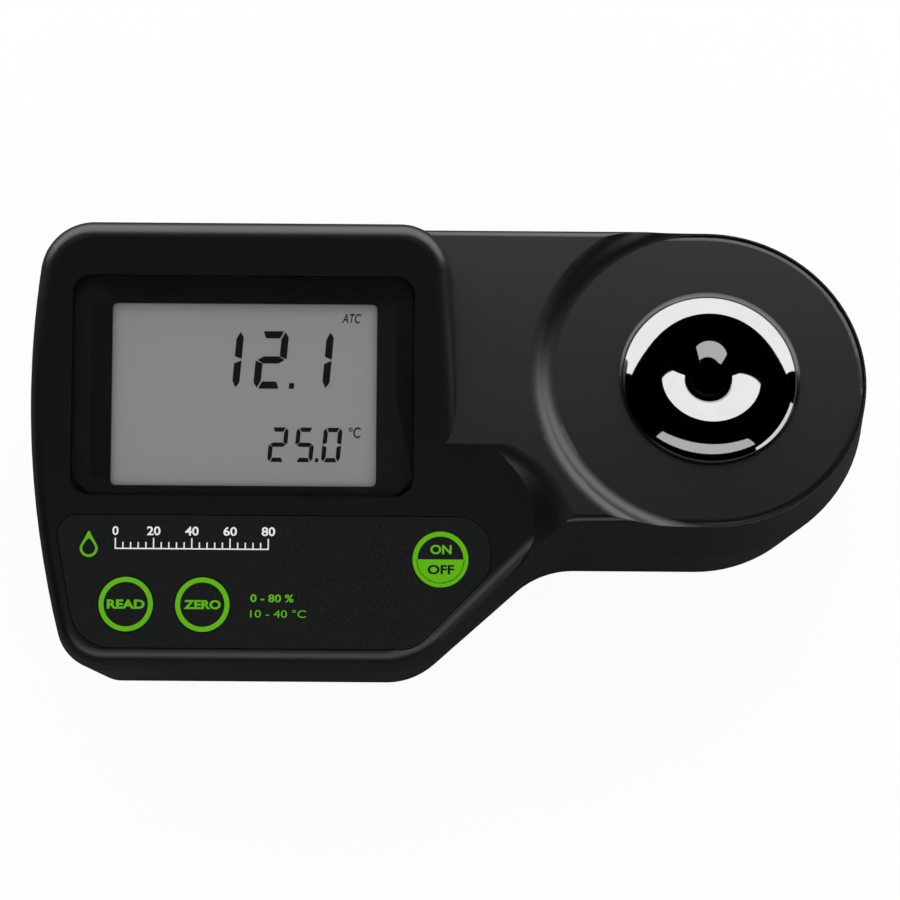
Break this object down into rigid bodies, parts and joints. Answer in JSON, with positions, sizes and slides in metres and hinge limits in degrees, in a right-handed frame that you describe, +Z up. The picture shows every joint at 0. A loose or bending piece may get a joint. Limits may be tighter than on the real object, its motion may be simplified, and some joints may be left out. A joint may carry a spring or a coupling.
{
  "type": "digital refractometer",
  "caption": "Handheld digital refractometer: sloped display block with membrane keys, round sampling head with a polished steel ring round a glass prism, and a twist-off battery cover.",
  "frame": {"origin": "middle of the bounding box, on the surface that the feet stand on", "axes": "+X from the display block to the sampling head, +Y from the keys' edge to the back, +Z up"},
  "size_m": [0.192, 0.102, 0.0666],
  "materials": {
    "case_upper": "satin moulded ABS",
    "case_lower": "satin moulded ABS",
    "overlay": "fine textured polyester",
    "key": "fine textured polyester",
    "window": "clear acrylic",
    "lcd": "reflective grey display",
    "black_frame": "matte",
    "strip": "layered conducting rubber",
    "board": "green solder mask",
    "chip": "moulded epoxy",
    "connector": "natural nylon",
    "switch": "moulded",
    "plunger": "moulded",
    "ribbon": "flexible",
    "steel": "zinc-plated",
    "ring": "polished stainless steel",
    "prism": "polished flint glass",
    "lens": "polished",
    "seal": "soft",
    "red_seal": "silicone",
    "housing": "matte",
    "led": "clear epoxy",
    "aperture": "black anodised",
    "sensor": "ceramic package",
    "battery": "printed steel jacket",
    "snap": "moulded vinyl",
    "red_wire": "insulated",
    "black_wire": "insulated",
    "foam": "foam",
    "cover": "satin moulded ABS",
    "foot": "soft"
  },
  "bodies": {
    "case": {"upper_shell": "case_upper", "lower_shell": "case_lower", "case_seal": "seal", "case_screws": "steel", "rubber_feet": "foot", "display_window": "window", "window_gasket": "black_frame", "lcd_glass": "lcd", "lcd_frame": "black_frame", "contact_strips": "strip", "keypad_overlay": "overlay", "key_switches": "switch", "main_board": "board", "board_screws": "steel", "processor": "chip", "analog_chips": "chip", "battery_connector": "connector", "cable_connector": "connector", "sensor_cable": "ribbon", "sample_ring": "ring", "ring_seal": "seal", "prism_seal": "red_seal", "prism": "prism", "optics_housing": "housing", "well_screws": "steel", "collimating_lens": "lens", "aperture": "aperture", "led": "led", "led_board": "board", "imaging_lens": "lens", "image_sensor": "sensor", "sensor_board": "board", "optics_screws": "steel", "temperature_sensor": "chip", "led_leads": "black_wire", "battery": "battery", "battery_snap": "snap", "battery_pad": "foam", "black_lead": "black_wire", "red_lead": "red_wire"},
    "read_button": {"read_key": "key", "read_plunger": "plunger"},
    "zero_button": {"zero_key": "key", "zero_plunger": "plunger"},
    "power_button": {"power_key": "key", "power_plunger": "plunger"},
    "cover_seal": {"cover_seal": "seal"},
    "battery_cover": {"battery_cover": "cover"}
  },
  "joints": [
    {"name": "read_press", "type": "slide", "parent": "case", "child": "read_button", "axis": [0, 0.2756, -0.9613], "range_m": [0, 0.0004], "stiffness_N_per_m": 400, "springref_m": -0.0002},
    {"name": "zero_press", "type": "slide", "parent": "case", "child": "zero_button", "axis": [0, 0.2756, -0.9613], "range_m": [0, 0.0004], "stiffness_N_per_m": 400, "springref_m": -0.0002},
    {"name": "power_press", "type": "slide", "parent": "case", "child": "power_button", "axis": [0, 0.2756, -0.9613], "range_m": [0, 0.0004], "stiffness_N_per_m": 400, "springref_m": -0.0002},
    {"name": "cover_lift", "type": "slide", "parent": "case", "child": "cover_seal", "axis": [0, 0, -1], "range_m": [0, 0.0021]},
    {"name": "cover_turn", "type": "hinge", "parent": "cover_seal", "child": "battery_cover", "pos_m": [-0.046, 0.005, 0], "axis": [0, 0, -1], "range_deg": [0, 60]}
  ],
  "couplings": [
    {"joint": "cover_lift", "follows": "cover_turn", "m_per_rad": 0.0019099}
  ]
}
